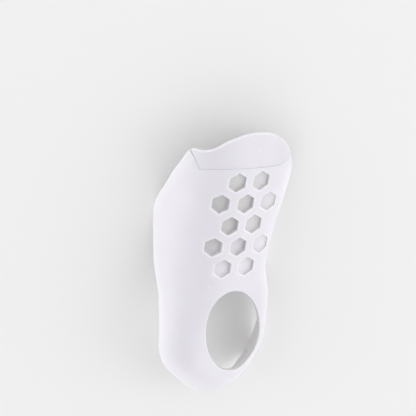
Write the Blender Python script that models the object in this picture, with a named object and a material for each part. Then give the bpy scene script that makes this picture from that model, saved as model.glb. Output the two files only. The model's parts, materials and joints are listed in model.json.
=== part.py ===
"""Arch support insole for a left foot: a moulded shell with a thin pad at its front.

The insole is worked out as its mould would form it. Each piece is first a flat blank, cut in
pattern coordinates: `across` runs from the arch side (minus) to the outer side (plus), `along`
from the heel's centre to the toes, and depth from the sole face inwards to the foot face. The
sections below then say how far from the middle line the blank starts to bend towards the foot,
where it is bent fully, by what angle, and where its rim is. Last, both pieces are turned over
together onto the three points of the rim on which the insole lies by itself, sole up.
"""

import math
from typing import NamedTuple

import bmesh
import bpy
from mathutils import Matrix, Vector

# Lengths of the flat blank, in metres
FORE_LENGTH = 0.1312  # heel centre to the foremost point
PAD_LENGTH = 0.0207  # the front pad, from the seam to the foremost point
FRONT_HALF_WIDTH = 0.035  # middle line to the front corners
ARCH_REACH = 0.062  # middle line to the top of the arch flange
HEEL_REACH = 0.051  # heel centre to the rim behind it
OUTER_REACH = 0.036  # middle line to the outer rim
HEEL_PATH = 0.031  # length of rim path that one radian round the heel stands for

# Angles of the fully bent walls, in degrees
ARCH_TURN = 104
HEEL_TURN = 76
OUTER_TURN = 80

# Thicknesses
SOLE_THICKNESS = 0.003
RIM_THICKNESS = 0.0026
RIM_TAPER = 0.012  # width along the rim over which the sole thins to it
ARCH_PAD_HEIGHT = 0.0012  # the swelling of the foot face under the arch
ARCH_PAD_REAR = 0.044
ARCH_PAD_INNER = -0.040
ARCH_PAD_OUTER = 0.016
ARCH_PAD_SIDE_SLOPE = 0.022  # width over which it rises from its sides
ARCH_PAD_END_SLOPE = 0.016  # length over which it rises from its ends

# Pockets in the sole face
POCKET_RADIUS = 0.006  # to a corner of the hexagon
POCKET_PITCH = 0.0155
POCKET_WEB = 0.0015  # what is left between a pocket's floor and the foot face
POCKET_TURN = -3.8  # degrees
POCKET_SETBACK = 0.0077  # seam to the centres of the front row
POCKET_ACROSS = -0.0066  # the first pocket of the front row
POCKET_ROWS = (2, 3, 2, 3, 2)
POCKET_OUTER = 0.012  # pockets further out than this are shallower
POCKET_OUTER_SHARE = 0.6  # their depth as a share of the others
POCKET_LAND = 0.0025  # least width of sole between a pocket and the heel opening

# The heel opening, an oval
OPENING_HALF_WIDTH = 0.0184
OPENING_HALF_LENGTH = 0.0280
OPENING_ACROSS = 0.0014
OPENING_ALONG = 0.0061
OPENING_TURN = 14  # degrees, the front end towards the arch

# Lap joint of the shell and the front pad
JOINT_GAP = 0.0003
JOINT_LAP = 0.009  # how far the pad's tongue reaches under the shell
LIP_THICKNESS = 0.0019
PAD_STEP = 0.0005  # the pad's sole face lies this much lower than the shell's

# Fineness of the faceted surfaces
CELL_ACROSS = 0.004
CELL_ALONG = 0.006
CELL_HEEL = 0.0045
STEPS_ALONG_SECTION = 24
OVERRUN = 0.02  # how far a cutter runs past what it cuts

WHITE = (0.80, 0.79, 0.83, 1.0)
PAD_WHITE = (0.78, 0.78, 0.81, 1.0)


class Section(NamedTuple):
    """One cross-section. Place is a share of FORE_LENGTH, or degrees round the heel."""

    place: float
    start: float  # shares of the side's reach
    full: float
    turn: float  # share of the side's turn
    reach: float  # share of the side's reach


ARCH_SECTIONS = (
    Section(place=1.006, start=0.00, full=0.60, turn=0.365, reach=0.52),
    Section(place=0.865, start=-0.03, full=0.745, turn=0.655, reach=0.66),
    Section(place=0.735, start=-0.10, full=0.87, turn=0.81, reach=0.815),
    Section(place=0.553, start=-0.10, full=1.06, turn=0.935, reach=1.01),
    Section(place=0.362, start=-0.075, full=1.14, turn=1.00, reach=0.93),
    Section(place=0.181, start=0.08, full=1.00, turn=1.00, reach=0.83),
    Section(place=0.00, start=0.195, full=0.925, turn=0.94, reach=0.765),
)
HEEL_SECTIONS = (
    Section(place=-45, start=0.39, full=0.80, turn=1.00, reach=1.00),
    Section(place=0, start=0.39, full=1.06, turn=1.00, reach=1.00),
    Section(place=45, start=0.29, full=0.88, turn=1.03, reach=0.88),
)
OUTER_SECTIONS = (
    Section(place=0.00, start=0.555, full=0.89, turn=1.04, reach=1.00),
    Section(place=0.181, start=0.50, full=0.92, turn=1.00, reach=0.86),
    Section(place=0.362, start=0.33, full=0.78, turn=0.825, reach=0.92),
    Section(place=0.553, start=0.36, full=0.83, turn=0.56, reach=0.935),
    Section(place=0.735, start=0.47, full=0.86, turn=0.375, reach=0.94),
    Section(place=0.865, start=0.58, full=0.97, turn=0.325, reach=1.00),
    Section(place=1.006, start=0.69, full=1.055, turn=0.225, reach=1.08),
)


class EdgePoint(NamedTuple):
    """One point of the front edge or the seam, as shares of FRONT_HALF_WIDTH and PAD_LENGTH."""

    across: float
    ahead: float  # in front of the seam's middle


FRONT_EDGE = (
    EdgePoint(across=-1.077, ahead=0.425),
    EdgePoint(across=-0.982, ahead=0.54),
    EdgePoint(across=-0.843, ahead=0.53),
    EdgePoint(across=-0.654, ahead=0.615),
    EdgePoint(across=-0.424, ahead=0.845),
    EdgePoint(across=-0.146, ahead=0.98),
    EdgePoint(across=0.149, ahead=0.993),
    EdgePoint(across=0.387, ahead=0.912),
    EdgePoint(across=0.602, ahead=0.706),
    EdgePoint(across=0.749, ahead=0.403),
    EdgePoint(across=0.863, ahead=0.02),
    EdgePoint(across=0.955, ahead=-0.355),
)
SEAM = (
    EdgePoint(across=-1.16, ahead=0.845),
    EdgePoint(across=-0.956, ahead=0.315),
    EdgePoint(across=-0.871, ahead=0.055),
    EdgePoint(across=-0.818, ahead=-0.01),
    EdgePoint(across=-0.6, ahead=0.04),
    EdgePoint(across=-0.3, ahead=0.055),
    EdgePoint(across=0.10, ahead=-0.005),
    EdgePoint(across=0.50, ahead=-0.06),
    EdgePoint(across=0.64, ahead=0.00),
    EdgePoint(across=0.80, ahead=0.15),
    EdgePoint(across=1.30, ahead=0.775),
)

HEEL_PATH_HALF = HEEL_PATH * math.pi / 2  # rim path from the heel's rear to its side
SEAM_ALONG = FORE_LENGTH - PAD_LENGTH


class Bend(NamedTuple):
    """A section's own values, at one place on the rim path."""

    path: float
    start: float
    full: float
    turn: float
    reach: float


def bends_of(sections, reach, turn, path_of):
    """The sections of one side as real lengths and radians."""
    return [
        Bend(
            path_of(section.place),
            section.start * reach,
            section.full * reach,
            math.radians(section.turn * turn),
            section.reach * reach,
        )
        for section in sections
    ]


def all_bends():
    """Every section in order of the rim path, from the arch side round the heel outwards."""
    arch = bends_of(
        ARCH_SECTIONS,
        ARCH_REACH,
        ARCH_TURN,
        lambda place: -(HEEL_PATH_HALF + place * FORE_LENGTH),
    )
    heel = bends_of(
        HEEL_SECTIONS, HEEL_REACH, HEEL_TURN, lambda place: math.radians(place) * HEEL_PATH
    )
    outer = bends_of(
        OUTER_SECTIONS,
        OUTER_REACH,
        OUTER_TURN,
        lambda place: HEEL_PATH_HALF + place * FORE_LENGTH,
    )
    return arch + heel + outer


def slopes_through(places, values):
    """Slopes of a smooth curve through the values that never overshoots between two of them."""
    steps = [b - a for a, b in zip(places, places[1:])]
    rises = [(b - a) / step for a, b, step in zip(values, values[1:], steps)]
    slopes = [rises[0]]
    for before, after, left, right in zip(rises, rises[1:], steps, steps[1:]):
        if before * after <= 0:
            slopes.append(0.0)
            continue
        near, far = 2 * right + left, right + 2 * left
        slopes.append((near + far) / (near / before + far / after))
    return slopes + [rises[-1]]


BENDS = all_bends()
PATHS = [bend.path for bend in BENDS]
BEND_SLOPES = [slopes_through(PATHS, column) for column in list(zip(*BENDS))[1:]]


def bend_at(path):
    """The bend's start, full, turn and reach at any place on the rim path."""
    path = min(max(path, PATHS[0]), PATHS[-1])
    row = max(i for i, place in enumerate(PATHS[:-1]) if place <= path)
    step = PATHS[row + 1] - PATHS[row]
    t = (path - PATHS[row]) / step
    found = []
    for values, slopes in zip(list(zip(*BENDS))[1:], BEND_SLOPES):
        found.append(
            (2 * t**3 - 3 * t**2 + 1) * values[row]
            + (t**3 - 2 * t**2 + t) * step * slopes[row]
            + (3 * t**2 - 2 * t**3) * values[row + 1]
            + (t**3 - t**2) * step * slopes[row + 1]
        )
    return Bend(path, *found)


def smooth_step(value):
    """0 below 0, 1 above 1, and a smooth rise between."""
    value = min(max(value, 0.0), 1.0)
    return value * value * (3 - 2 * value)


def place_on_path(across, along):
    """(rim path, distance from the middle line, heading) of a place on the blank."""
    if along < 0:
        angle = math.atan2(across, -along)
        heading = Vector((math.sin(angle), -math.cos(angle), 0))
        return angle * HEEL_PATH, math.hypot(across, along), heading
    side = math.copysign(1.0, across)
    return side * (HEEL_PATH_HALF + along), abs(across), Vector((side, 0, 0))


def sole_face(across, along):
    """Where a place of the flat sole face lies once it is formed."""
    path, distance, heading = place_on_path(across, along)
    bend = bend_at(path)
    out = drop = 0.0
    step = distance / STEPS_ALONG_SECTION
    for i in range(STEPS_ALONG_SECTION):
        covered = (i + 0.5) * step
        angle = bend.turn * smooth_step((covered - bend.start) / (bend.full - bend.start))
        out += step * math.cos(angle)
        drop += step * math.sin(angle)
    foot = Vector((0, max(along, 0.0), 0))
    return foot + heading * out - Vector((0, 0, drop))


def inward(across, along):
    """The direction from the sole face to the foot face."""
    reach = 0.0002
    right = sole_face(across + reach, along) - sole_face(across - reach, along)
    ahead = sole_face(across, along + reach) - sole_face(across, along - reach)
    return ahead.cross(right).normalized()


def thickness(across, along):
    """Thickness of the formed shell at a place on the blank."""
    path, distance, _ = place_on_path(across, along)
    from_rim = bend_at(path).reach - distance
    rim = RIM_THICKNESS + (SOLE_THICKNESS - RIM_THICKNESS) * smooth_step(from_rim / RIM_TAPER)
    from_end = min(along - ARCH_PAD_REAR, SEAM_ALONG - JOINT_LAP / 2 - along)
    from_side = min(across - ARCH_PAD_INNER, ARCH_PAD_OUTER - across)
    lengthwise = smooth_step(from_end / ARCH_PAD_END_SLOPE)
    crosswise = smooth_step(from_side / ARCH_PAD_SIDE_SLOPE)
    return rim + ARCH_PAD_HEIGHT * lengthwise * crosswise


def form(mesh):
    """Bends a flat blank to its real shape. Pocket floors keep their web to the foot face."""
    for vertex in mesh.verts:
        across, along, depth = vertex.co
        extra = thickness(across, along) - SOLE_THICKNESS
        share = min(1.0, depth / (SOLE_THICKNESS - POCKET_WEB))
        vertex.co = sole_face(across, along) + inward(across, along) * (depth + extra * share)


def curve_through(points, steps):
    """Points on a smooth curve through the given ones, with `steps` between two of them."""
    ends = [2 * points[0] - points[1]] + points + [2 * points[-1] - points[-2]]
    found = []
    for before, here, there, after in zip(ends, ends[1:], ends[2:], ends[3:]):
        leaving = (there - before) / 2
        arriving = (after - here) / 2
        for i in range(steps):
            t = i / steps
            found.append(
                (2 * t**3 - 3 * t**2 + 1) * here
                + (t**3 - 2 * t**2 + t) * leaving
                + (3 * t**2 - 2 * t**3) * there
                + (t**3 - t**2) * arriving
            )
    return found + [points[-1]]


def edge_points(table):
    """A front edge or seam table as places on the blank."""
    return [
        Vector((point.across * FRONT_HALF_WIDTH, SEAM_ALONG + point.ahead * PAD_LENGTH))
        for point in table
    ]


def rim_point(path):
    """The place on the blank where the rim path's place meets the rim."""
    reach = bend_at(path).reach
    if abs(path) >= HEEL_PATH_HALF:
        return Vector((math.copysign(reach, path), abs(path) - HEEL_PATH_HALF))
    angle = path / HEEL_PATH
    return Vector((math.sin(angle), -math.cos(angle))) * reach


def blank_outline():
    """The whole blank's outline: the arch rim, round the heel, the outer rim and the front edge."""
    front = curve_through(edge_points(FRONT_EDGE), 2)
    first = -(HEEL_PATH_HALF + front[0].y - CELL_ALONG)
    last = HEEL_PATH_HALF + front[-1].y - CELL_ALONG
    count = round((last - first) / CELL_ALONG)
    rim = [rim_point(first + (last - first) * i / count) for i in range(count + 1)]
    return rim + front[::-1]


def prism(outline, low, high):
    """A closed straight-sided solid over an outline, between two depths."""
    mesh = bmesh.new()
    floor = mesh.faces.new([mesh.verts.new((point.x, point.y, low)) for point in outline])
    walls = bmesh.ops.extrude_face_region(mesh, geom=[floor])
    raised = [item for item in walls["geom"] if isinstance(item, bmesh.types.BMVert)]
    bmesh.ops.translate(mesh, verts=raised, vec=(0, 0, high - low))
    bmesh.ops.recalc_face_normals(mesh, faces=mesh.faces[:])
    return mesh


def as_object(name, mesh):
    """An object that holds the mesh, linked to the scene."""
    data = bpy.data.meshes.new(name)
    mesh.to_mesh(data)
    mesh.free()
    made = bpy.data.objects.new(name, data)
    bpy.context.scene.collection.objects.link(made)
    return made


def cutter(name, mesh):
    """A helper object that only cuts others."""
    made = as_object(name, mesh)
    made.hide_render = True
    made.display_type = "WIRE"
    return made


def cut(target, tool, operation="DIFFERENCE"):
    """Adds a Boolean of the tool to the target."""
    boolean = target.modifiers.new(tool.name, "BOOLEAN")
    boolean.object = tool
    boolean.operation = operation
    boolean.solver = "EXACT"


def opening_cutter():
    """The heel opening's oval, through the whole blank."""
    mesh = bmesh.new()
    bmesh.ops.create_cone(
        mesh,
        cap_ends=True,
        segments=36,
        radius1=1,
        radius2=1,
        depth=SOLE_THICKNESS + 2 * OVERRUN,
    )
    bmesh.ops.scale(mesh, verts=mesh.verts[:], vec=(OPENING_HALF_WIDTH, OPENING_HALF_LENGTH, 1))
    bmesh.ops.rotate(
        mesh, verts=mesh.verts[:], matrix=Matrix.Rotation(math.radians(OPENING_TURN), 3, "Z")
    )
    bmesh.ops.translate(mesh, verts=mesh.verts[:], vec=(OPENING_ACROSS, OPENING_ALONG, 0))
    return cutter("heel_opening_cutter", mesh)


def clear_of_opening(centre):
    """Whether a pocket leaves enough sole between itself and the heel opening."""
    off = Matrix.Rotation(-math.radians(OPENING_TURN), 2) @ (
        centre - Vector((OPENING_ACROSS, OPENING_ALONG))
    )
    room = POCKET_RADIUS + POCKET_LAND
    wide, long = OPENING_HALF_WIDTH + room, OPENING_HALF_LENGTH + room
    return (off.x / wide) ** 2 + (off.y / long) ** 2 > 1


def pocket_centres():
    """Staggered rows of pockets, the front row first, each further one towards the heel."""
    first = Vector((POCKET_ACROSS, SEAM_ALONG - POCKET_SETBACK))
    turn = Matrix.Rotation(math.radians(POCKET_TURN), 2)
    centres = []
    for row, count in enumerate(POCKET_ROWS):
        stagger = -0.5 * (row % 2)
        for column in range(count):
            step = Vector((column + stagger, -row * math.sqrt(3) / 2)) * POCKET_PITCH
            centres.append(first + turn @ step)
    return [centre for centre in centres if clear_of_opening(centre)]


def pocket_cutter():
    """All the pockets, as hexagonal prisms that stop at their floors."""
    mesh = bmesh.new()
    for centre in pocket_centres():
        floor = SOLE_THICKNESS - POCKET_WEB
        if centre.x > POCKET_OUTER:
            floor *= POCKET_OUTER_SHARE
        bmesh.ops.create_cone(
            mesh,
            cap_ends=True,
            segments=6,
            radius1=POCKET_RADIUS,
            radius2=POCKET_RADIUS,
            depth=OVERRUN,
            matrix=Matrix.Translation((centre.x, centre.y, floor - OVERRUN / 2))
            @ Matrix.Rotation(math.radians(POCKET_TURN), 4, "Z"),
        )
    return cutter("pocket_cutter", mesh)


def ahead_of_seam(name, shift, low, high):
    """A block over everything in front of the seam, moved ahead by `shift`."""
    seam = curve_through(edge_points(SEAM), 2)
    front = FORE_LENGTH + OVERRUN
    corners = [Vector((seam[-1].x, front)), Vector((seam[0].x, front))]
    outline = [point + Vector((0, shift)) for point in seam] + corners
    return cutter(name, prism(outline, low, high))


def cut_into_cells(mesh):
    """Cuts the flat faces along lines across and along the insole, so that they can bend."""
    ahead = [CELL_ALONG * i for i in range(int(FORE_LENGTH / CELL_ALONG) + 1)]
    behind = [-CELL_HEEL * (i + 1) for i in range(int(HEEL_REACH / CELL_HEEL))]
    widest = max(ARCH_REACH, HEEL_REACH, OUTER_REACH, FRONT_HALF_WIDTH)
    columns = int(widest / CELL_ACROSS) + 1
    planes = [(Vector((0, along, 0)), Vector((0, 1, 0))) for along in ahead + behind]
    planes += [
        (Vector((CELL_ACROSS * i, 0, 0)), Vector((1, 0, 0))) for i in range(-columns, columns + 1)
    ]
    for place, normal in planes:
        bmesh.ops.bisect_plane(
            mesh,
            geom=mesh.verts[:] + mesh.edges[:] + mesh.faces[:],
            dist=0.0004,
            plane_co=place,
            plane_no=normal,
        )


def formed(blank, name, colour):
    """The finished piece made from a flat blank and its cuts."""
    mesh = bmesh.new()
    mesh.from_object(blank, bpy.context.evaluated_depsgraph_get())
    bpy.data.objects.remove(blank)
    cut_into_cells(mesh)
    bmesh.ops.triangulate(mesh, faces=mesh.faces[:])
    form(mesh)
    # Depth runs against the formed frame's Z, so forming turns the faces inside out
    bmesh.ops.reverse_faces(mesh, faces=mesh.faces[:])
    piece = as_object(name, mesh)
    piece.data.shade_smooth()
    piece.data.set_sharp_from_angle(angle=math.radians(35))
    piece.data.materials.append(plastic(name + "_plastic", colour))
    return piece


def plastic(name, colour):
    """Satin moulded plastic."""
    material = bpy.data.materials.new(name)
    material.use_nodes = True
    shader = material.node_tree.nodes["Principled BSDF"]
    shader.inputs["Base Color"].default_value = colour
    shader.inputs["Roughness"].default_value = 0.5
    shader.inputs["Metallic"].default_value = 0.0
    return material


def arch_shell():
    """The shell: the whole blank behind the seam, with its opening, pockets and front lip."""
    blank = as_object("shell_blank", prism(blank_outline(), 0, SOLE_THICKNESS))
    cut(blank, opening_cutter())
    cut(blank, pocket_cutter())
    cut(blank, ahead_of_seam("seam_cutter", 0, -OVERRUN, SOLE_THICKNESS + OVERRUN))
    lap = JOINT_LAP + JOINT_GAP
    cut(blank, ahead_of_seam("rebate_cutter", -lap, LIP_THICKNESS, SOLE_THICKNESS + OVERRUN))
    return formed(blank, "arch_shell", WHITE)


def front_pad():
    """The pad: the blank ahead of the seam, with a thin tongue that reaches under the lip."""
    blank = as_object("pad_blank", prism(blank_outline(), PAD_STEP, SOLE_THICKNESS))
    under_lip = LIP_THICKNESS + JOINT_GAP
    reach = ahead_of_seam("pad_cutter", -JOINT_LAP, -OVERRUN, SOLE_THICKNESS + OVERRUN)
    cut(blank, reach, "INTERSECT")
    behind = ahead_of_seam("pad_edge_cutter", JOINT_GAP, -OVERRUN, under_lip)
    step = as_object("pad_step", prism(blank_outline(), -OVERRUN / 2, under_lip))
    cut(step, behind)
    step.hide_render = True
    step.display_type = "WIRE"
    cut(blank, step)
    return formed(blank, "front_pad", PAD_WHITE)


def centre_of_mass(meshes):
    """Centre of the solids that the closed meshes bound."""
    volume, moment = 0.0, Vector((0, 0, 0))
    for mesh in meshes:
        for face in mesh.polygons:
            a, b, c = (mesh.vertices[i].co for i in face.vertices)
            part = a.dot(b.cross(c))
            volume += part
            moment += part * (a + b + c) / 4
    return moment / volume


def holds(corners, normal, point):
    """Whether the point lies over the triangle, seen along the triangle's normal."""
    for a, b in zip(corners, corners[1:] + corners[:1]):
        if (b - a).cross(point - a).dot(normal) < 0:
            return False
    return True


def resting_turn(pieces):
    """The turn that lays the insole on the face of its hull that carries it, toes towards +Y."""
    meshes = [piece.data for piece in pieces]
    centre = centre_of_mass(meshes)
    hull = bmesh.new()
    for mesh in meshes:
        for vertex in mesh.vertices:
            hull.verts.new(vertex.co)
    bmesh.ops.convex_hull(hull, input=hull.verts[:])
    bmesh.ops.triangulate(hull, faces=hull.faces[:])
    carriers = []
    for face in hull.faces:
        corners = [vertex.co.copy() for vertex in face.verts]
        down = face.normal if face.normal.dot(corners[0] - centre) > 0 else -face.normal
        if down.z < -0.5 and holds(corners, face.normal, centre):
            carriers.append(((corners[0] - centre).dot(down), down.copy()))
    hull.free()
    _, down = min(carriers, key=lambda carrier: carrier[0])
    turn = down.rotation_difference(Vector((0, 0, -1))).to_matrix()
    toes = turn @ Vector((0, 1, 0))
    return Matrix.Rotation(math.atan2(toes.x, toes.y), 3, "Z") @ turn


def lay_down(pieces):
    """Parents the pieces to an empty that lays them on the ground, centred on the origin."""
    turn = resting_turn(pieces)
    points = [turn @ vertex.co for piece in pieces for vertex in piece.data.vertices]
    low = Vector([min(point[i] for point in points) for i in range(3)])
    high = Vector([max(point[i] for point in points) for i in range(3)])
    middle = (low + high) / 2
    rest = bpy.data.objects.new("resting_place", None)
    bpy.context.scene.collection.objects.link(rest)
    rest.matrix_world = Matrix.Translation((-middle.x, -middle.y, -low.z)) @ turn.to_4x4()
    for piece in pieces:
        piece.parent = rest


def main():
    """Clears the scene and builds the insole."""
    for old in list(bpy.data.objects):
        bpy.data.objects.remove(old)
    lay_down([arch_shell(), front_pad()])


main()
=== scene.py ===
"""Looks of the arch support insole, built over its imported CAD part.

The insole is a moulded shell with a tall arch flange, a deep heel cup with an oval opening,
staggered hexagonal pockets in its sole, and a thin front pad that meets it at a seam. Each piece
is made flat, with every edge rounded as a mould leaves it, and is then bent by the same law as the
CAD part. In the flat blank `across` runs from the arch side (minus) to the outer side (plus),
`along` from the heel's centre to the toes, and depth from the sole face inwards to the foot face.
"""

import json
import logging
import math
from dataclasses import dataclass
from enum import Enum
from functools import cached_property
from typing import Callable, TypeVar

import bmesh
import bpy
import numpy as np
from mathutils import Matrix, Vector

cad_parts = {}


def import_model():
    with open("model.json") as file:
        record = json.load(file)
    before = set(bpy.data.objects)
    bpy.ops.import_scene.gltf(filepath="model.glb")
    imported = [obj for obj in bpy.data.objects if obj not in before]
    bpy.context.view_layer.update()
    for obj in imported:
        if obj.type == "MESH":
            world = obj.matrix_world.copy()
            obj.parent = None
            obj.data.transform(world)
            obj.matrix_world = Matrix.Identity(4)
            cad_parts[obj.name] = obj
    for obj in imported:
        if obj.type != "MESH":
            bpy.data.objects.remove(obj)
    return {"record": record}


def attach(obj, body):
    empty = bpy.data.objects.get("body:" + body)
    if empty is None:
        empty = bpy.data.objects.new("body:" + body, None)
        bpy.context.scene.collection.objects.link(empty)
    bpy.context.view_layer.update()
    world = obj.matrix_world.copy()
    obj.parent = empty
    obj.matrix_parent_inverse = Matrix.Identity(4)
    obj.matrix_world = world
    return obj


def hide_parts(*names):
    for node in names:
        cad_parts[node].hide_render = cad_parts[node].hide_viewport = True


LOG = logging.getLogger("insole")

Array = np.ndarray
Mesh = bmesh.types.BMesh
Thing = bpy.types.Object
Socket = bpy.types.NodeSocket
Triple = tuple[float, float, float]
Place = TypeVar("Place", Vector, Array)


class Slot(Enum):
    """The record's material slots."""

    SHELL = "shell_plastic"
    PAD = "pad_plastic"


class Mark(Enum):
    """What a finish reads from a piece's vertices: where it paints highlights and shade."""

    # painted shade on the pockets' floors
    FLOOR = "pocket_floor"
    # painted shade on the pockets' walls and the floor beside them
    WALL = "pocket_wall"
    # painted highlight on the pockets' lips
    LIP = "pocket_lip"
    # painted light along the thin rim
    RIM = "near_rim"
    # painted shadow on the face against the foot and the heel opening's inner wall
    FOOT = "foot_face"


class Cut(Enum):
    """What a cutter does to a blank."""

    REMOVE = "DIFFERENCE"
    KEEP = "INTERSECT"


def smooth_step(value: float | Array) -> Array:
    """0 below 0, 1 above 1, and a smooth rise between."""
    value = np.clip(value, 0.0, 1.0)
    return value * value * (3 - 2 * value)


def cubic(
    share: float | Array, start: Place, leaving: Place, end: Place, arriving: Place
) -> Place:
    """A place on a smooth curve between two ends.

    Args:
        share: How far along the curve it is, from 0 to 1.
        start: Where the curve starts.
        leaving: Its slope there.
        end: Where it ends.
        arriving: Its slope there.

    Returns:
        The place.
    """
    return (
        (2 * share**3 - 3 * share**2 + 1) * start
        + (share**3 - 2 * share**2 + share) * leaving
        + (3 * share**2 - 2 * share**3) * end
        + (share**3 - share**2) * arriving
    )


def curve_through(points: list[Vector], steps: int) -> list[Vector]:
    """A smooth curve through given points.

    Args:
        points: The places that the curve passes.
        steps: How many pieces the curve has between two of them.

    Returns:
        The curve's points, the given ones among them.
    """
    ends = [2 * points[0] - points[1]] + points + [2 * points[-1] - points[-2]]
    found = []
    for before, here, there, after in zip(ends, ends[1:], ends[2:], ends[3:]):
        leaving = (there - before) / 2
        arriving = (after - here) / 2
        for i in range(steps):
            found.append(cubic(i / steps, here, leaving, there, arriving))
    return found + [points[-1]]


def directions(span: Vector, normal: Vector) -> Matrix:
    """The directions of a frame.

    Args:
        span: A line that runs ahead.
        normal: The way up.

    Returns:
        Unit directions across, along and up, as columns.
    """
    up = normal.normalized()
    along = (span - up * span.dot(up)).normalized()
    return Matrix((along.cross(up), along, up)).transposed()


def mesh_object(name: str, mesh: Mesh) -> Thing:
    """An object that holds a mesh, linked to the scene.

    Args:
        name: The object's name.
        mesh: Its shape, which is freed.

    Returns:
        The object.
    """
    data = bpy.data.meshes.new(name)
    mesh.to_mesh(data)
    mesh.free()
    made = bpy.data.objects.new(name, data)
    bpy.context.scene.collection.objects.link(made)
    return made


@dataclass(frozen=True)
class Section:
    """One cross-section of a side. Place is a share of the fore length, or degrees at the heel."""

    place: float
    start: float
    full: float
    turn: float
    reach: float


@dataclass(frozen=True)
class Mould:
    """The form that bends the flat blanks: how far out each side bends, by how much, and its rim.

    A section's start, full and reach are shares of its side's reach, and its turn of its side's
    turn. The rim path runs from the arch side's front round the heel to the outer side's front.
    """

    fore_length: float = 0.1312
    arch_reach: float = 0.062
    heel_reach: float = 0.051
    outer_reach: float = 0.036
    heel_path: float = 0.031
    arch_turn: float = 104.0
    heel_turn: float = 76.0
    outer_turn: float = 80.0
    sole_thickness: float = 0.003
    rim_thickness: float = 0.0026
    rim_taper: float = 0.012
    # how far the painted light along the rim reaches
    painted_rim_light_width: float = 0.010
    pocket_web: float = 0.0015
    arch_pad_height: float = 0.0012
    arch_pad_rear: float = 0.044
    arch_pad_front: float = 0.106
    arch_pad_inner: float = -0.040
    arch_pad_outer: float = 0.016
    arch_pad_side_slope: float = 0.022
    arch_pad_end_slope: float = 0.016
    steps_along_section: int = 24
    probe: float = 0.0002
    pocket_edge: float = 0.0004
    pocket_foot: float = 0.0007
    pocket_dish: float = 0.0003
    arch_sections: tuple[Section, ...] = (
        Section(1.006, 0.00, 0.60, 0.365, 0.52),
        Section(0.865, -0.03, 0.745, 0.655, 0.66),
        Section(0.735, -0.10, 0.87, 0.81, 0.815),
        Section(0.553, -0.10, 1.06, 0.935, 1.01),
        Section(0.362, -0.075, 1.14, 1.00, 0.93),
        Section(0.181, 0.08, 1.00, 1.00, 0.83),
        Section(0.00, 0.195, 0.925, 0.94, 0.765),
    )
    heel_sections: tuple[Section, ...] = (
        Section(-45, 0.39, 0.80, 1.00, 1.00),
        Section(0, 0.39, 1.06, 1.00, 1.00),
        Section(45, 0.29, 0.88, 1.03, 0.88),
    )
    outer_sections: tuple[Section, ...] = (
        Section(0.00, 0.555, 0.89, 1.04, 1.00),
        Section(0.181, 0.50, 0.92, 1.00, 0.86),
        Section(0.362, 0.33, 0.78, 0.825, 0.92),
        Section(0.553, 0.36, 0.83, 0.56, 0.935),
        Section(0.735, 0.47, 0.86, 0.375, 0.94),
        Section(0.865, 0.58, 0.97, 0.325, 1.00),
        Section(1.006, 0.69, 1.055, 0.225, 1.08),
    )

    @property
    def heel_half(self) -> float:
        """Rim path from the heel's rear to its side."""
        return self.heel_path * math.pi / 2

    @cached_property
    def bends(self) -> Array:
        """All sections as real lengths and radians.

        Returns:
            Path, start, full, turn and reach, a row for each section along the rim path.
        """
        rows = []
        for sections, side, reach, turn in (
            (self.arch_sections, -1, self.arch_reach, self.arch_turn),
            (self.heel_sections, 0, self.heel_reach, self.heel_turn),
            (self.outer_sections, 1, self.outer_reach, self.outer_turn),
        ):
            for section in sections:
                path = side * (self.heel_half + section.place * self.fore_length)
                if side == 0:
                    path = math.radians(section.place) * self.heel_path
                angle = math.radians(section.turn * turn)
                start = section.start * reach
                rows.append([path, start, section.full * reach, angle, section.reach * reach])
        return np.array(rows)

    @cached_property
    def bend_slopes(self) -> Array:
        """Slopes of smooth curves through the sections that never overshoot between two.

        Returns:
            The slopes of start, full, turn and reach, a row for each section.
        """
        steps = np.diff(self.bends[:, 0])
        rises = np.diff(self.bends[:, 1:], axis=0) / steps[:, None]
        slopes = np.zeros((len(self.bends), rises.shape[1]))
        slopes[0] = rises[0]
        slopes[-1] = rises[-1]
        for row in range(1, len(self.bends) - 1):
            before = rises[row - 1]
            after = rises[row]
            near = 2 * steps[row] + steps[row - 1]
            far = steps[row] + 2 * steps[row - 1]
            agree = before * after > 0
            safe_before = np.where(agree, before, 1.0)
            safe_after = np.where(agree, after, 1.0)
            mean = (near + far) / (near / safe_before + far / safe_after)
            slopes[row] = np.where(agree, mean, 0.0)
        return slopes

    def bend_at(self, path: Array) -> Array:
        """The bend at places on the rim path.

        Args:
            path: The places.

        Returns:
            Start, full, turn and reach, a row for each place.
        """
        places = self.bends[:, 0]
        path = np.clip(path, places[0], places[-1])
        row = np.clip(np.searchsorted(places, path, side="right") - 1, 0, len(places) - 2)
        step = (places[row + 1] - places[row])[:, None]
        leaving = step * self.bend_slopes[row]
        arriving = step * self.bend_slopes[row + 1]
        share = (path - places[row])[:, None] / step
        return cubic(share, self.bends[row, 1:], leaving, self.bends[row + 1, 1:], arriving)

    def place_on_path(self, across: Array, along: Array) -> tuple[Array, Array, Array]:
        """How places on the blank lie to its rim path.

        Args:
            across: Distances from the middle line, minus on the arch side.
            along: Distances from the heel's centre towards the toes.

        Returns:
            The rim path, the distance from the middle line, and the heading outwards.
        """
        side = np.where(across < 0, -1.0, 1.0)
        angle = np.arctan2(across, -np.minimum(along, 0.0))
        behind = along < 0
        path = np.where(behind, angle * self.heel_path, side * (self.heel_half + along))
        distance = np.where(behind, np.hypot(across, along), np.abs(across))
        ahead = np.where(behind, -np.cos(angle), 0.0)
        outwards = np.where(behind, np.sin(angle), side)
        heading = np.stack([outwards, ahead, np.zeros_like(across)], axis=1)
        return path, distance, heading

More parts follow.
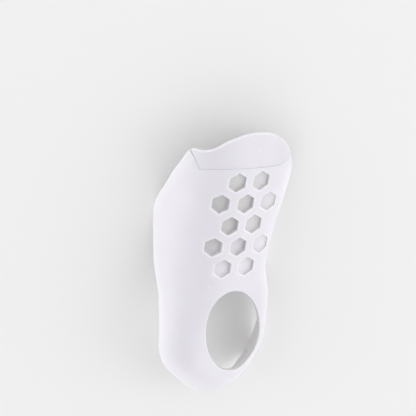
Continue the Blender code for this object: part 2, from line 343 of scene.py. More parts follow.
    def sole_face(self, across: Array, along: Array) -> Array:
        """Where places of the flat sole face lie once they are formed.

        Args:
            across: Distances from the middle line.
            along: Distances from the heel's centre.

        Returns:
            One formed point for each place.
        """
        path, distance, heading = self.place_on_path(across, along)
        start, full, turn, _ = self.bend_at(path).T
        out = np.zeros_like(distance)
        drop = np.zeros_like(distance)
        step = distance / self.steps_along_section
        for i in range(self.steps_along_section):
            covered = (i + 0.5) * step
            angle = turn * smooth_step((covered - start) / (full - start))
            out += step * np.cos(angle)
            drop += step * np.sin(angle)
        nothing = np.zeros_like(distance)
        foot = np.stack([nothing, np.maximum(along, 0.0), -drop], axis=1)
        return foot + heading * out[:, None]

    def inward(self, across: Array, along: Array) -> Array:
        """Which way the foot face lies from the sole face.

        Args:
            across: Distances from the middle line.
            along: Distances from the heel's centre.

        Returns:
            One unit direction for each place.
        """
        near = self.probe
        right = self.sole_face(across + near, along) - self.sole_face(across - near, along)
        ahead = self.sole_face(across, along + near) - self.sole_face(across, along - near)
        straight = np.cross(ahead, right)
        return straight / np.linalg.norm(straight, axis=1)[:, None]

    def from_rim(self, across: Array, along: Array) -> Array:
        """How far inside the rim places of the blank lie."""
        path, distance, _ = self.place_on_path(across, along)
        return self.bend_at(path)[:, 3] - distance

    def thickness(self, across: Array, along: Array) -> Array:
        """Thickness of the formed insole: less at the rim, and more under the arch.

        Args:
            across: Distances from the middle line.
            along: Distances from the heel's centre.

        Returns:
            One thickness for each place.
        """
        thinning = self.sole_thickness - self.rim_thickness
        inside = smooth_step(self.from_rim(across, along) / self.rim_taper)
        rim = self.rim_thickness + thinning * inside
        from_end = np.minimum(along - self.arch_pad_rear, self.arch_pad_front - along)
        from_side = np.minimum(across - self.arch_pad_inner, self.arch_pad_outer - across)
        lengthwise = smooth_step(from_end / self.arch_pad_end_slope)
        crosswise = smooth_step(from_side / self.arch_pad_side_slope)
        return rim + self.arch_pad_height * lengthwise * crosswise

    def press(self, mesh: Mesh) -> None:
        """Bends a flat blank to its real shape, and turns its faces outwards again.

        Where the insole is thicker, a pocket's straight wall grows and its roundings stay.

        Args:
            mesh: The blank, fine enough to follow the bends.
        """
        flat = np.array([vertex.co for vertex in mesh.verts])
        across, along, depth = flat.T
        extra = self.thickness(across, along) - self.sole_thickness
        wall_end = self.sole_thickness - self.pocket_web - self.pocket_dish - self.pocket_foot
        share = np.clip((depth - self.pocket_edge) / (wall_end - self.pocket_edge), 0.0, 1.0)
        inwards = self.inward(across, along) * (depth + extra * share)[:, None]
        formed = self.sole_face(across, along) + inwards
        for vertex, place in zip(mesh.verts, formed):
            vertex.co = place
        bmesh.ops.reverse_faces(mesh, faces=mesh.faces[:])

    def near_rim(self, flat: Array) -> Array:
        """Painted light along the rim: 1 at the rim, and 0 where it ends."""
        return 1.0 - smooth_step(self.from_rim(flat[:, 0], flat[:, 1]) / self.painted_rim_light_width)

    def painted_foot_shadow_amount(self, flat: Array) -> Array:
        """Painted shadow on the face that lies against the foot: 1 there, and 0 from half way
        through the sole.
        """
        return smooth_step(2 * flat[:, 2] / self.sole_thickness - 1.0)

    def rim_point(self, path: float) -> Vector:
        """A point of the rim.

        Args:
            path: Its place on the rim path.

        Returns:
            Its place on the blank.
        """
        reach = float(self.bend_at(np.array([path]))[0, 3])
        if abs(path) >= self.heel_half:
            return Vector((math.copysign(reach, path), abs(path) - self.heel_half))
        angle = path / self.heel_path
        return Vector((math.sin(angle), -math.cos(angle))) * reach


@dataclass(frozen=True)
class RestingPlace:
    """Where the mould's frame lies once the insole rests on its rim, from two mounts."""

    ahead_mount: str = "pad_sole_face"
    rear_mount: str = "waist_sole_face"
    ahead_spot: Triple = (0.009, 0.121, -0.0005)
    rear_spot: Triple = (0.004, 0.0385, 0.0)

    def matrix(self, record: dict) -> Matrix:
        """The turn and shift from the mould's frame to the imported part's.

        Args:
            record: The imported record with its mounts.

        Returns:
            The transform.
        """
        mounts = {mount["name"]: mount for mount in record["mounts"]}
        ahead = Vector(mounts[self.ahead_mount]["pos_m"])
        rear = Vector(mounts[self.rear_mount]["pos_m"])
        normal = Vector(mounts[self.rear_mount]["axis"])
        spot = Vector(self.rear_spot)
        moulded = directions(Vector(self.ahead_spot) - spot, Vector((0, 0, 1)))
        turn = directions(ahead - rear, normal) @ moulded.transposed()
        return Matrix.Translation(rear - turn @ spot) @ turn.to_4x4()


@dataclass(frozen=True)
class EdgePoint:
    """A point of the front edge or seam, as shares of the front half width and pad length."""

    across: float
    ahead: float


@dataclass(frozen=True)
class Pattern:
    """The flat lines that both pieces are cut along."""

    mould: Mould
    pad_length: float = 0.0207
    front_half_width: float = 0.035
    corner_gap: float = 0.006
    rim_step: float = 0.0015
    curve_steps: int = 10
    overrun: float = 0.02
    front_edge: tuple[EdgePoint, ...] = (
        EdgePoint(-1.077, 0.425),
        EdgePoint(-0.982, 0.54),
        EdgePoint(-0.843, 0.53),
        EdgePoint(-0.654, 0.615),
        EdgePoint(-0.424, 0.845),
        EdgePoint(-0.146, 0.98),
        EdgePoint(0.149, 0.993),
        EdgePoint(0.387, 0.912),
        EdgePoint(0.602, 0.706),
        EdgePoint(0.749, 0.403),
        EdgePoint(0.863, 0.02),
        EdgePoint(0.955, -0.355),
    )
    seam: tuple[EdgePoint, ...] = (
        EdgePoint(-1.16, 0.845),
        EdgePoint(-0.956, 0.315),
        EdgePoint(-0.871, 0.055),
        EdgePoint(-0.818, -0.01),
        EdgePoint(-0.6, 0.04),
        EdgePoint(-0.3, 0.055),
        EdgePoint(0.10, -0.005),
        EdgePoint(0.50, -0.06),
        EdgePoint(0.64, 0.00),
        EdgePoint(0.80, 0.15),
        EdgePoint(1.30, 0.775),
    )

    @property
    def seam_along(self) -> float:
        """Heel centre to the seam's middle."""
        return self.mould.fore_length - self.pad_length

    def edge_points(self, table: tuple[EdgePoint, ...]) -> list[Vector]:
        """A front edge or seam table in real lengths.

        Args:
            table: Its points.

        Returns:
            Their places on the blank.
        """
        half = self.front_half_width
        return [
            Vector((point.across * half, self.seam_along + point.ahead * self.pad_length))
            for point in table
        ]

    def outline(self) -> list[Vector]:
        """The whole blank's outline.

        Returns:
            The arch rim from its front, round the heel, the outer rim, and the front edge back.
        """
        half = self.mould.heel_half
        front = self.edge_points(self.front_edge)
        first = -(half + front[0].y - self.corner_gap)
        last = half + front[-1].y - self.corner_gap
        count = round((last - first) / self.rim_step)
        rim = [self.mould.rim_point(first + (last - first) * i / count) for i in range(count + 1)]
        before = self.mould.rim_point(first + self.corner_gap)
        after = self.mould.rim_point(last - self.corner_gap)
        guides = [before, rim[0]] + front + [rim[-1], after]
        curve = curve_through(guides, self.curve_steps)
        bend = curve[self.curve_steps + 1 : -self.curve_steps - 1]
        return rim + bend[::-1]

    def block(self, outline: list[Vector], low: float, high: float) -> Mesh:
        """A closed straight-sided solid over an outline.

        Args:
            outline: The places round it.
            low: The depth it starts at.
            high: The depth it ends at.

        Returns:
            The solid's mesh.
        """
        mesh = bmesh.new()
        bmesh.ops.create_circle(mesh, cap_ends=True, segments=len(outline), radius=1.0)
        for vertex, place in zip(mesh.verts, outline):
            vertex.co = (place.x, place.y, low)
        raised = bmesh.ops.extrude_face_region(mesh, geom=mesh.faces[:])
        moved = [item for item in raised["geom"] if isinstance(item, bmesh.types.BMVert)]
        bmesh.ops.translate(mesh, verts=moved, vec=(0, 0, high - low))
        bmesh.ops.recalc_face_normals(mesh, faces=mesh.faces[:])
        return mesh

    def ahead_of_seam(self, shift: float, low: float) -> Mesh:
        """A block over everything in front of the seam, down to below the foot face.

        Args:
            shift: How far the seam is moved ahead.
            low: The depth it starts at.

        Returns:
            The block's mesh.
        """
        seam = curve_through(self.edge_points(self.seam), self.curve_steps)
        front = self.mould.fore_length + self.overrun
        corners = [Vector((seam[-1].x, front)), Vector((seam[0].x, front))]
        outline = [place + Vector((0, shift)) for place in seam] + corners
        return self.block(outline, low, self.mould.sole_thickness + self.overrun)


@dataclass
class Blank:
    """A flat piece in the making: cut with other solids, and rounded where a cut left an edge."""

    name: str
    mesh: Mesh
    sharp_turn: float = 50.0
    weld: float = 0.00002
    cell: float = 0.0015
    on_line: float = 0.0001
    normal_weight: int = 100

    def soften(self, radius: float, segments: int) -> None:
        """Rounds every edge that is still sharp.

        Args:
            radius: How far the rounding reaches from the edge.
            segments: How many faces it has.
        """
        sharp = [
            edge
            for edge in self.mesh.edges
            if len(edge.link_faces) == 2
            and edge.calc_face_angle(0.0) > math.radians(self.sharp_turn)
        ]
        bmesh.ops.bevel(
            self.mesh,
            geom=sharp,
            offset=radius,
            offset_type="OFFSET",
            affect="EDGES",
            segments=segments,
            profile=0.5,
            material=-1,
            clamp_overlap=False,
        )

    def cut(self, tool: Mesh, way: Cut = Cut.REMOVE) -> None:
        """Cuts the blank with a solid, which is used up.

        Args:
            tool: The solid.
            way: Whether what it covers is removed or kept.
        """
        target = mesh_object(self.name + "_blank", self.mesh)
        cutter = mesh_object(self.name + "_cutter", tool)
        boolean = target.modifiers.new("cut", "BOOLEAN")
        boolean.object = cutter
        boolean.operation = way.value
        boolean.solver = "EXACT"
        self.mesh = bmesh.new()
        self.mesh.from_object(target, bpy.context.evaluated_depsgraph_get())
        for used in (target, cutter):
            data = used.data
            bpy.data.objects.remove(used)
            bpy.data.meshes.remove(data)
        bmesh.ops.remove_doubles(self.mesh, verts=self.mesh.verts[:], dist=self.weld)

    def divide(self, reach: float) -> None:
        """Cuts the faces along lines across and along the blank, so that they can bend.

        Args:
            reach: How far from the heel's centre the lines go.
        """
        count = int(reach / self.cell) + 1
        for normal in (Vector((0, 1, 0)), Vector((1, 0, 0))):
            low = min(vertex.co.dot(normal) for vertex in self.mesh.verts)
            high = max(vertex.co.dot(normal) for vertex in self.mesh.verts)
            for i in range(-count, count + 1):
                if low < i * self.cell < high:
                    bmesh.ops.bisect_plane(
                        self.mesh,
                        geom=self.mesh.verts[:] + self.mesh.edges[:] + self.mesh.faces[:],
                        dist=self.on_line,
                        plane_co=normal * i * self.cell,
                        plane_no=normal,
                    )
        wide = [face for face in self.mesh.faces if len(face.verts) > 4]
        bmesh.ops.triangulate(self.mesh, faces=wide)

    def mark(self, mark: Mark, amount: Callable[[Array], Array]) -> None:
        """Stores an amount at each vertex, for the finish to read.

        Args:
            mark: What the amount is of.
            amount: Gives the amounts for places of the flat blank.
        """
        flat = np.array([vertex.co for vertex in self.mesh.verts])
        layer = self.mesh.verts.layers.float.new(mark.value)
        for vertex, value in zip(self.mesh.verts, amount(flat)):
            vertex[layer] = value

    def finished(self, mould: Mould, rest: Matrix) -> Thing:
        """The formed piece, laid down where the CAD part lies.

        Args:
            mould: The form that bends it.
            rest: The transform that lays it down.

        Returns:
            The piece's object, with its place in its mesh.
        """
        mould.press(self.mesh)
        bmesh.ops.transform(self.mesh, matrix=rest, verts=self.mesh.verts[:])
        piece = mesh_object(self.name, self.mesh)
        piece.data.shade_smooth()
        even = piece.modifiers.new("even_normals", "WEIGHTED_NORMAL")
        even.mode = "FACE_AREA"
        even.weight = self.normal_weight
        return piece


@dataclass(frozen=True)
class NodeSheet:
    """The nodes of one material or sky, and the patterns that they make."""

    tree: bpy.types.NodeTree
    noise_detail: float = 4.0
    noise_low: float = 0.3
    noise_high: float = 0.7

    def add(
        self, kind: str, output: str, inputs: dict[str | int, object], **settings: str
    ) -> Socket:
        """Adds a node.

        Args:
            kind: Its type.
            output: Which of its outputs is used.
            inputs: What goes into it: fixed values, and other nodes' outputs.
            **settings: Its options.

        Returns:
            The output.
        """
        node = self.tree.nodes.new(kind)
        for name, value in settings.items():
            setattr(node, name, value)
        for name, value in inputs.items():
            if isinstance(value, Socket):
                self.tree.links.new(value, node.inputs[name])
            else:
                node.inputs[name].default_value = value
        return node.outputs[output]

    def noise(self, place: Socket, scale: float) -> Socket:
        """A noise of the given fineness that follows the coordinates of a place."""
        inputs = {"Scale": scale, "Detail": self.noise_detail, "Vector": place}
        return self.add("ShaderNodeTexNoise", "Fac", inputs)

    def spread(self, value: Socket, low: float, high: float) -> Socket:
        """Spreads a noise's middle range between two amounts.

        Args:
            value: The noise.
            low: What its low part becomes.
            high: What its high part becomes.

        Returns:
            The amount.
        """
        middle = {"From Min": self.noise_low, "From Max": self.noise_high}
        inputs = {**middle, "To Min": low, "To Max": high, "Value": value}
        return self.add("ShaderNodeMapRange", "Result", inputs)

    def specks(self, place: Socket, scale: float, size: float) -> Socket:
        """Small specks, where the middles of a pattern's cells meet the surface.

        Args:
            place: The coordinates they follow.
            scale: How close together they lie.
            size: How large they are, as a share of a cell.

        Returns:
            1 on a speck, and 0 elsewhere.
        """
        inputs = {"Scale": scale, "Vector": place}
        cells = self.add("ShaderNodeTexVoronoi", "Distance", inputs)
        return self.add(
            "ShaderNodeMath", "Value", {0: cells, 1: size}, operation="LESS_THAN"
        )

    def marked(self, mark: Mark, share: float) -> Socket:
        """A share of an amount that the piece's vertices carry."""
        amount = self.add("ShaderNodeAttribute", "Fac", {}, attribute_name=mark.value)
        return self.add(
            "ShaderNodeMath", "Value", {0: amount, 1: share}, operation="MULTIPLY"
        )

    def tinted(self, under: Socket, over: Triple, amount: Socket) -> Socket:
        """A colour with another laid over it by an amount."""
        inputs = {"A": under, "B": (*over, 1.0), "Factor": amount}
        return self.add("ShaderNodeMix", "Result", inputs, data_type="RGBA")

    def relief(self, height: Socket, depth: float, below: Socket | None) -> Socket:
        """Fine unevenness of the surface.

        Args:
            height: The pattern of heights.
            depth: The real height of it.
            below: A coarser relief that it lies on, if any.

        Returns:
            The uneven normal.
        """
        inputs = {"Strength": 1.0, "Distance": depth, "Height": height}
        if below is not None:
            inputs["Normal"] = below
        return self.add("ShaderNodeBump", "Normal", inputs)


@dataclass(frozen=True)
class PlasticFinish:
    """Satin moulded plastic: fine grain, faint clouding, and a little light inside.

    Thin rims and the pockets' lips carry painted highlights, the pockets' floors and walls painted
    shade, and the face that lies against the foot painted shadow; a few pale specks lie in it.
    """

    name: str
    colour: Triple
    clouded: Triple
    # painted light along the thin rim
    painted_rim_light_colour: Triple = (0.88, 0.87, 0.89)
    # painted shade on the pockets' floors
    floor_colour: Triple = (0.68, 0.67, 0.665)
    # painted shade on the pockets' walls
    painted_wall_shade_colour: Triple = (0.52, 0.51, 0.52)
    # painted highlight on the pockets' lips
    painted_lip_highlight_colour: Triple = (0.96, 0.95, 0.97)
    # painted shadow on the face against the foot
    painted_foot_shadow_colour: Triple = (0.68, 0.67, 0.67)
    painted_rim_light_share: float = 0.8
    painted_floor_shade_share: float = 0.95
    painted_wall_shade_share: float = 0.62
    painted_lip_highlight_share: float = 1.0
    painted_foot_shadow_share: float = 1.0
    roughness: float = 0.44
    roughness_spread: float = 0.06
    cloud_scale: float = 70.0
    grain_scale: float = 1300.0
    grain_height: float = 0.00003
    ripple_scale: float = 160.0
    ripple_height: float = 0.00008
    light_inside: float = 0.3
    light_spread: Triple = (1.0, 0.95, 0.9)
    light_depth: float = 0.0015
    sheen: float = 0.1
    sheen_roughness: float = 0.6
    speck_colour: Triple = (0.98, 0.98, 0.98)
    speck_scale: float = 90.0
    speck_size: float = 0.035

    def material(self) -> bpy.types.Material:
        """The finish as a material.

        Returns:
            The material.
        """
        made = bpy.data.materials.new(self.name)
        made.use_nodes = True
        tree = made.node_tree
        sheet = NodeSheet(tree)
        shader = tree.nodes["Principled BSDF"]
        place = sheet.add("ShaderNodeTexCoord", "Object", {})
        cloud = sheet.noise(place, self.cloud_scale)
        plain = tree.nodes.new("ShaderNodeRGB").outputs["Color"]
        plain.default_value = (*self.colour, 1.0)
        colour = sheet.tinted(plain, self.clouded, sheet.spread(cloud, 0.0, 1.0))
        # Lays the painted highlights and shade over the plain colour.
        for mark, over, share in (
            (Mark.RIM, self.painted_rim_light_colour, self.painted_rim_light_share),
            (Mark.FLOOR, self.floor_colour, self.painted_floor_shade_share),
            (Mark.WALL, self.painted_wall_shade_colour, self.painted_wall_shade_share),
            (Mark.LIP, self.painted_lip_highlight_colour, self.painted_lip_highlight_share),
            (Mark.FOOT, self.painted_foot_shadow_colour, self.painted_foot_shadow_share),
        ):
            colour = sheet.tinted(colour, over, sheet.marked(mark, share))
        specks = sheet.specks(place, self.speck_scale, self.speck_size)
        colour = sheet.tinted(colour, self.speck_colour, specks)
        tree.links.new(colour, shader.inputs["Base Color"])
        low = self.roughness - self.roughness_spread
        high = self.roughness + self.roughness_spread
        ripple = sheet.noise(place, self.ripple_scale)
        tree.links.new(sheet.spread(ripple, low, high), shader.inputs["Roughness"])
        coarse = sheet.relief(ripple, self.ripple_height, None)
        grain = sheet.noise(place, self.grain_scale)
        fine = sheet.relief(grain, self.grain_height, coarse)
        tree.links.new(fine, shader.inputs["Normal"])
        for name, value in (
            ("Subsurface Weight", self.light_inside),
            ("Subsurface Radius", self.light_spread),
            ("Subsurface Scale", self.light_depth),
            ("Sheen Weight", self.sheen),
            ("Sheen Roughness", self.sheen_roughness),
        ):
            shader.inputs[name].default_value = value
        return made


@dataclass(frozen=True)
class Lap:
    """The lap joint between the shell's front lip and the pad's tongue, closed as when bonded."""

    gap: float = 0.00004
    length: float = 0.009
    lip_thickness: float = 0.0019
    pad_step: float = 0.0003
    seam_edge: float = 0.0002
    seam_steps: int = 3


@dataclass(frozen=True)
class Pockets:
    """The hexagonal pockets in the sole, in staggered rows from the seam to the heel opening."""

    pattern: Pattern
    radius: float = 0.006
    pitch: float = 0.0155
    turn: float = -3.8
    setback: float = 0.0077
    across: float = -0.0066
    rows: tuple[int, ...] = (2, 3, 2, 3, 2)
    outer: float = 0.012
    outer_share: float = 0.6
    corner: float = 0.0005
    corner_steps: int = 3
    arc_steps: int = 4
    dish_steps: int = 4
    # Painted shade on the pockets' walls, thrown towards their outer and heel side.
    wall_shade: float = 0.0038
    shade_heading: float = -30.0
    least_shade: float = 0.1
    # Painted highlight on the pockets' lips.
    lip_start: float = 0.3
    lip_rise: float = 6.0
    lip_fall: float = 1.4
    lip_outside: float = 1.1
    lip_inside: float = 0.5
    under_floor: float = 0.0001
    # Painted shade on the pockets' floors, greyest under the arch.
    grey_rear: float = 0.0517
    grey_slant: float = 0.33
    grey_rear_slope: float = 0.026
    grey_outer: float = 0.030
    grey_side_slope: float = 0.034

    def centres(self) -> list[Vector]:
        """The pockets' middles.

        Returns:
            Their places on the blank, the front row first and each further one nearer the heel.
        """
        first = Vector((self.across, self.pattern.seam_along - self.setback))
        turn = Matrix.Rotation(math.radians(self.turn), 2)
        found = []
        for row, count in enumerate(self.rows):
            stagger = -0.5 * (row % 2)
            for column in range(count):
                step = Vector((column + stagger, -row * math.sqrt(3) / 2)) * self.pitch
                found.append(first + turn @ step)
        return found

    @property
    def wall(self) -> float:
        """A pocket's middle to its walls."""
        return self.radius * math.sqrt(3) / 2

    def depth(self, outer: bool) -> float:
        """How deep the pockets are where the sole has its plain thickness."""
        full = self.pattern.mould.sole_thickness - self.pattern.mould.pocket_web
        return full * self.outer_share if outer else full

    def profile(self, floor: float) -> list[tuple[float, float]]:
        """A pocket's side from above the sole face to its floor.

        Args:
            floor: How deep the floor lies.

        Returns:
            How far outside the straight wall, and how deep, for each ring of the cutter.
        """
        mould = self.pattern.mould
        edge = mould.pocket_edge
        dish = mould.pocket_dish * floor / self.depth(False)
        side = floor - dish
        foot = min(mould.pocket_foot, side - edge)
        angles = [math.pi / 2 * i / self.arc_steps for i in range(self.arc_steps + 1)]
        first = angles[1]
        over = (edge + edge * math.sin(first), -edge + edge * math.cos(first))
        rings = [(over[0], -self.pattern.overrun), over]
        for angle in angles[1:]:
            rings.append((edge - edge * math.sin(angle), edge - edge * math.cos(angle)))
        for angle in angles:
            rings.append((foot * math.cos(angle) - foot, side - foot + foot * math.sin(angle)))
        for i in range(1, self.dish_steps):
            inwards = i / self.dish_steps
            out = (foot - self.wall) * inwards - foot
            rings.append((out, side + dish * (2 - inwards) * inwards))
        return rings

    def tool(self, outer: bool) -> Mesh:
        """The cutter for the pockets of one depth, flared at the rim and rounded at the floor.

        Args:
            outer: Whether it cuts the shallower pockets near the outer side, or the others.

        Returns:
            The cutter's mesh.
        """
        mesh = bmesh.new()
        turn = Matrix.Rotation(math.radians(self.turn), 4, "Z")
        for centre in self.centres():
            if (centre.x > self.outer) != outer:
                continue
            bmesh.ops.create_circle(
                mesh,
                cap_ends=True,
                segments=6,
                radius=self.radius,
                matrix=Matrix.Translation((centre.x, centre.y, 0)) @ turn,
            )
        bmesh.ops.bevel(
            mesh,
            geom=mesh.verts[:],
            offset=self.corner,
            offset_type="OFFSET",
            affect="VERTICES",
            segments=self.corner_steps,
            profile=0.5,
            material=-1,
        )
        wall = self.wall
        rings = self.profile(self.depth(outer))
        caps = mesh.faces[:]
        self.move_ring(mesh, caps, rings[0][1], (wall + rings[0][0]) / wall)
        inner: list[bmesh.types.BMFace] = []
        for (last_out, last_depth), (out, depth) in zip(rings, rings[1:]):
            raised = bmesh.ops.extrude_face_region(mesh, geom=caps)
            bmesh.ops.delete(mesh, geom=inner, context="FACES_ONLY")
            caps = [item for item in raised["geom"] if isinstance(item, bmesh.types.BMFace)]
            inner = caps
            self.move_ring(mesh, caps, depth - last_depth, (wall + out) / (wall + last_out))
        bmesh.ops.recalc_face_normals(mesh, faces=mesh.faces[:])
        return mesh

    def move_ring(
        self, mesh: Mesh, caps: list[bmesh.types.BMFace], deeper: float, wider: float
    ) -> None:
        """Lowers the cutter's end faces and widens each about its own middle.

        Args:
            mesh: The cutter's mesh.
            caps: Its end faces, one for each pocket.
            deeper: How far they go down.
            wider: How much wider they become.
        """
        for cap in caps:
            away = Matrix.Translation(-cap.calc_center_median())
            bmesh.ops.scale(mesh, verts=cap.verts[:], vec=(wider, wider, 1), space=away)
            bmesh.ops.translate(mesh, verts=cap.verts[:], vec=(0, 0, deeper))

    def from_middle(self, flat: Array) -> Array:
        """Where places of the blank lie from the middle of their nearest pocket.

        Args:
            flat: The places: across, along, depth.

        Returns:
            The way from the middle to each, across and along.
        """
        gaps = flat[:, None, :2] - np.array(self.centres())[None, :, :]
        nearest = np.argmin(np.hypot(gaps[:, :, 0], gaps[:, :, 1]), axis=1)
        return gaps[np.arange(len(flat)), nearest]

    def from_walls(self, flat: Array) -> Array:
        """How far places of the blank lie inside the walls of their nearest pocket.

        Args:
            flat: The places: across, along, depth.

        Returns:
            The distances, minus outside every pocket and on the foot face.
        """
        angles = np.radians(self.turn + 60.0 * np.arange(6))
        outwards = np.stack([np.cos(angles), np.sin(angles)])
        inside = self.wall - (self.from_middle(flat) @ outwards).max(axis=1)
        return np.where(flat[:, 2] < self.depth(False) + self.under_floor, inside, -np.inf)

    def painted_floor_shade_amount(self, flat: Array) -> Array:
        """How much painted shade greys the pockets' floors: most under the arch, least at the heel
        and outer side.

        Args:
            flat: The places: across, along, depth.

        Returns:
            The amounts, 0 outside the pockets.
        """
        edge = self.pattern.mould.pocket_edge
        rear = self.grey_rear + self.grey_slant * flat[:, 0]
        lengthwise = smooth_step((flat[:, 1] - rear) / self.grey_rear_slope)
        crosswise = smooth_step((self.grey_outer - flat[:, 0]) / self.grey_side_slope)
        below = smooth_step(flat[:, 2] / edge - 1.0)
        return np.where(self.from_walls(flat) > -edge, lengthwise * crosswise * below, 0.0)

    def painted_wall_shade_amount(self, flat: Array) -> Array:
        """How much painted shade the pockets' walls and the floor beside them carry: most on their
        outer and heel side.

        Args:
            flat: The places: across, along, depth.

        Returns:
            1 on the shadiest walls, and 0 where their shade on the floor ends.
        """
        edge = self.pattern.mould.pocket_edge
        inside = self.from_walls(flat)
        shade = 1.0 - smooth_step(inside / self.wall_shade)
        below = smooth_step((flat[:, 2] - 0.5 * edge) / edge)
        heading = math.radians(self.shade_heading)
        towards = self.from_middle(flat) @ np.array([math.cos(heading), math.sin(heading)])
        share = np.clip(0.5 + 0.5 * towards / self.wall, self.least_shade, 1.0)
        return np.where(inside > -edge, shade * below * share, 0.0)

    def painted_lip_highlight_amount(self, flat: Array) -> Array:
        """Painted highlight on the rounded lips of the pockets, where the light catches.

        Args:
            flat: The places: across, along, depth.

        Returns:
            1 on a lip, and 0 on the sole face, on the walls and at the foot of the rounding.
        """
        edge = self.pattern.mould.pocket_edge
        share = flat[:, 2] / edge
        rising = self.lip_start + self.lip_rise * share
        falling = self.lip_fall * (1.0 - share)
        line = np.clip(np.minimum(rising, falling), 0.0, 1.0)
        inside = self.from_walls(flat)
        near = (inside > -self.lip_outside * edge) & (inside < self.lip_inside * edge)
        return np.where(near, line, 0.0)


@dataclass
class ArchShell:
    """The moulded shell: heel cup with its opening, arch flange, pockets and front lip."""

    pattern: Pattern
    lap: Lap
    pockets: Pockets
    rest: Matrix
    finish: PlasticFinish
    rim_radius: float = 0.0011
    edge_steps: int = 4
    opening_half_width: float = 0.0184
    opening_half_length: float = 0.0280
    opening_across: float = 0.0018
    opening_along: float = 0.0059
    opening_turn: float = 15.5
    opening_segments: int = 128
    opening_edge: float = 0.0005
    opening_margin: float = 1.01

    def opening_tool(self) -> Mesh:
        """The heel opening's oval, through the whole blank.

        Returns:
            The cutter's mesh.
        """
        mesh = bmesh.new()
        bmesh.ops.create_cone(
            mesh,
            cap_ends=True,
            segments=self.opening_segments,
            radius1=1,
            radius2=1,
            depth=2 * self.pattern.overrun,
        )
        halves = (self.opening_half_width, self.opening_half_length, 1)
        bmesh.ops.scale(mesh, verts=mesh.verts[:], vec=halves)
        turn = Matrix.Rotation(math.radians(self.opening_turn), 3, "Z")
        bmesh.ops.rotate(mesh, verts=mesh.verts[:], matrix=turn)
        shift = (self.opening_across, self.opening_along, 0)
        bmesh.ops.translate(mesh, verts=mesh.verts[:], vec=shift)
        return mesh

    def painted_inside_shadow_amount(self, flat: Array) -> Array:
        """Painted shadow on the inside: the foot face, and the opening's wall below its lip.

        Args:
            flat: The places: across, along, depth.

        Returns:
            1 inside, and 0 on the sole face.
        """
        turn = math.radians(self.opening_turn)
        place = flat[:, :2] - np.array([self.opening_across, self.opening_along])
        wide = place @ np.array([math.cos(turn), math.sin(turn)]) / self.opening_half_width
        long = place @ np.array([-math.sin(turn), math.cos(turn)]) / self.opening_half_length
        on_wall = np.hypot(wide, long) < self.opening_margin
        below = flat[:, 2] > self.opening_edge / 2
        return np.where(on_wall & below, 1.0, self.pattern.mould.painted_foot_shadow_amount(flat))

    def build(self) -> Thing:
        """Makes the shell and dresses it.

        Returns:
            The shell's object.
        """
        mould = self.pattern.mould
        outline = self.pattern.outline()
        blank = Blank("arch_shell_visual", self.pattern.block(outline, 0, mould.sole_thickness))
        blank.soften(self.rim_radius, self.edge_steps)
        blank.cut(self.opening_tool())
        blank.soften(self.opening_edge, self.edge_steps)
        for outer in (False, True):
            blank.cut(self.pockets.tool(outer))
        blank.cut(self.pattern.ahead_of_seam(0, -self.pattern.overrun))
        lap = self.lap.length + self.lap.gap
        blank.cut(self.pattern.ahead_of_seam(-lap, self.lap.lip_thickness))
        blank.soften(self.lap.seam_edge, self.lap.seam_steps)
        blank.divide(mould.fore_length)
        # Painted shade on the pockets' floors and walls, painted highlights on their lips and
        # along the rim, painted shadow on the inside.
        blank.mark(Mark.FLOOR, self.pockets.painted_floor_shade_amount)
        blank.mark(Mark.WALL, self.pockets.painted_wall_shade_amount)
        blank.mark(Mark.LIP, self.pockets.painted_lip_highlight_amount)
        blank.mark(Mark.RIM, mould.near_rim)
        blank.mark(Mark.FOOT, self.painted_inside_shadow_amount)
        piece = blank.finished(mould, self.rest)
        piece.data.materials.append(self.finish.material())
        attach(piece, "root")
        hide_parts("arch_shell")
        return piece


@dataclass
class FrontPad:
    """The thin pad ahead of the seam, with a tongue that reaches under the shell's lip."""

    pattern: Pattern
    lap: Lap
    rest: Matrix
    finish: PlasticFinish
    rim_radius: float = 0.0009
    edge_steps: int = 4
    above_pad: float = 0.01
    level_across: float = 0.016
    level_slope: float = 0.008

    def fade_step(self, mesh: Mesh) -> None:
        """Raises the pad's sole face to the shell's towards the outer side, where no step shows.

        Args:
            mesh: The flat pad.
        """
        for vertex in mesh.verts:
            raised = smooth_step((vertex.co.x - self.level_across) / self.level_slope)
            if vertex.co.z < self.lap.lip_thickness / 2:
                vertex.co.z -= self.lap.pad_step * raised

    def build(self) -> Thing:
        """Makes the pad and dresses it.

        Returns:
            The pad's object.
        """
        mould = self.pattern.mould
        outline = self.pattern.outline()
        body = self.pattern.block(outline, self.lap.pad_step, mould.sole_thickness)
        blank = Blank("front_pad_visual", body)
        blank.soften(self.rim_radius, self.edge_steps)
        low = -self.pattern.overrun
        blank.cut(self.pattern.ahead_of_seam(-self.lap.length, low), Cut.KEEP)
        under_lip = self.lap.lip_thickness + self.lap.gap
        above = Blank("tongue_step", self.pattern.block(outline, -self.above_pad, under_lip))
        above.cut(self.pattern.ahead_of_seam(self.lap.gap, low))
        blank.cut(above.mesh)
        blank.soften(self.lap.seam_edge, self.lap.seam_steps)
        blank.divide(mould.fore_length)
        self.fade_step(blank.mesh)
        # painted light along the rim, and painted shadow on the foot face
        blank.mark(Mark.RIM, mould.near_rim)
        blank.mark(Mark.FOOT, mould.painted_foot_shadow_amount)
        piece = blank.finished(mould, self.rest)
        piece.data.materials.append(self.finish.material())
        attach(piece, "root")
        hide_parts("front_pad")
        return piece


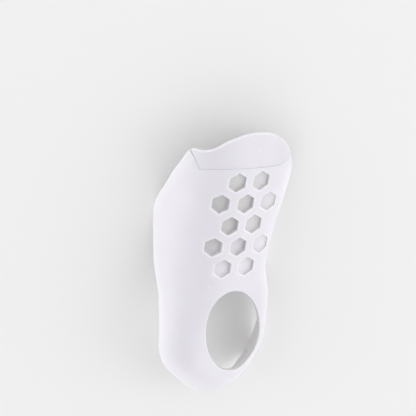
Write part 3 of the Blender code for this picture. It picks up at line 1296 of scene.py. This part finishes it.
@dataclass(frozen=True)
class PhotoCamera:
    """The photograph's view, given in the mould's frame by its angles to the sole."""

    tilt: float = 43.092
    swing: float = 39.841
    roll: float = 6.088
    target: Triple = (-0.005155, 0.074356, -0.028300)
    distance: float = 0.9
    lens: float = 135.8
    sensor: float = 36.0
    nearest: float = 0.01

    def build(self, rest: Matrix) -> Thing:
        """Makes the camera and gives it to the scene.

        Args:
            rest: The transform that lays the insole down.

        Returns:
            The camera.
        """
        tilt = math.radians(self.tilt)
        swing = math.radians(self.swing)
        level = math.sin(tilt)
        back = Vector((-level * math.cos(swing), level * math.sin(swing), math.cos(tilt)))
        roll = Matrix.Rotation(math.radians(self.roll), 3, "Z")
        turn = directions(Vector((0, 1, 0)), back) @ roll
        place = Matrix.Translation(Vector(self.target) + back * self.distance)
        data = bpy.data.cameras.new("photo_camera")
        data.lens = self.lens
        data.sensor_width = self.sensor
        data.clip_start = self.nearest
        camera = bpy.data.objects.new("photo_camera", data)
        bpy.context.scene.collection.objects.link(camera)
        camera.matrix_world = rest @ place @ turn.to_4x4()
        bpy.context.scene.camera = camera
        return camera


@dataclass(frozen=True)
class Studio:
    """A plain pale floor under plain soft light that comes mostly from the sides."""

    floor_half: float = 2.0
    floor_colour: Triple = (0.96, 0.96, 0.96)
    floor_roughness: float = 0.9
    low_sky: float = 1.91
    high_sky: float = 0.275
    lamp_size: float = 1.2
    right_lamp: Triple = (1.6, 0.2, 0.9)
    right_power: float = 5.0
    left_lamp: Triple = (-1.6, 0.2, 0.9)
    left_power: float = 2.85

    def floor(self) -> Thing:
        """Makes the floor of matt paper.

        Returns:
            The floor's object.
        """
        mesh = bmesh.new()
        bmesh.ops.create_grid(mesh, x_segments=4, y_segments=4, size=self.floor_half)
        made = mesh_object("floor", mesh)
        material = bpy.data.materials.new("floor_paper")
        material.use_nodes = True
        shader = material.node_tree.nodes["Principled BSDF"]
        shader.inputs["Base Color"].default_value = (*self.floor_colour, 1.0)
        shader.inputs["Roughness"].default_value = self.floor_roughness
        made.data.materials.append(material)
        return made

    def sky(self) -> None:
        """Makes a white sky that is brightest near the horizon, as inside a light tent."""
        world = bpy.data.worlds.new("light_tent")
        world.use_nodes = True
        tree = world.node_tree
        sheet = NodeSheet(tree)
        place = sheet.add("ShaderNodeTexCoord", "Generated", {})
        height = sheet.add("ShaderNodeSeparateXYZ", "Z", {"Vector": place})
        inputs = {"To Min": self.low_sky, "To Max": self.high_sky, "Value": height}
        sky = tree.nodes["Background"]
        sky.inputs["Color"].default_value = (1.0, 1.0, 1.0, 1.0)
        tree.links.new(sheet.add("ShaderNodeMapRange", "Result", inputs), sky.inputs["Strength"])
        bpy.context.scene.world = world

    def lamp(self, name: str, place: Vector, power: float) -> Thing:
        """A square soft lamp that faces the insole.

        Args:
            name: The lamp's name.
            place: Where it hangs.
            power: Its power in watts.

        Returns:
            The lamp.
        """
        data = bpy.data.lights.new(name, "AREA")
        data.size = self.lamp_size
        data.energy = power
        made = bpy.data.objects.new(name, data)
        bpy.context.scene.collection.objects.link(made)
        made.location = place
        made.rotation_euler = (-place).to_track_quat("-Z", "Y").to_euler()
        return made

    def build(self) -> None:
        """Makes the floor, the sky and the lamps."""
        self.floor()
        self.sky()
        self.lamp("right_lamp", Vector(self.right_lamp), self.right_power)
        self.lamp("left_lamp", Vector(self.left_lamp), self.left_power)
        bpy.context.scene.view_settings.view_transform = "Standard"


def main(frame: dict) -> None:
    """Builds the insole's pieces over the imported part, then the stage and the camera.
    """
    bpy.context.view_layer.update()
    rest = RestingPlace().matrix(frame["record"])
    PhotoCamera().build(rest)
    mould = Mould()
    pattern = Pattern(mould)
    lap = Lap()
    shell_finish = PlasticFinish(
        name="shell_satin",
        colour=(0.82, 0.805, 0.855),
        clouded=(0.80, 0.785, 0.835),
    )
    pad_finish = PlasticFinish(
        name="pad_satin",
        colour=(0.81, 0.795, 0.845),
        clouded=(0.79, 0.775, 0.825),
    )
    shell = ArchShell(pattern, lap, Pockets(pattern), rest, shell_finish)
    pad = FrontPad(pattern, lap, rest, pad_finish)
    for part in (shell, pad):
        piece = part.build()
        LOG.info("%s has %d faces", piece.name, len(piece.data.polygons))
    Studio().build()
    bpy.context.view_layer.update()


if __name__ == "__main__":
    logging.basicConfig(level=logging.INFO)
    main(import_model())
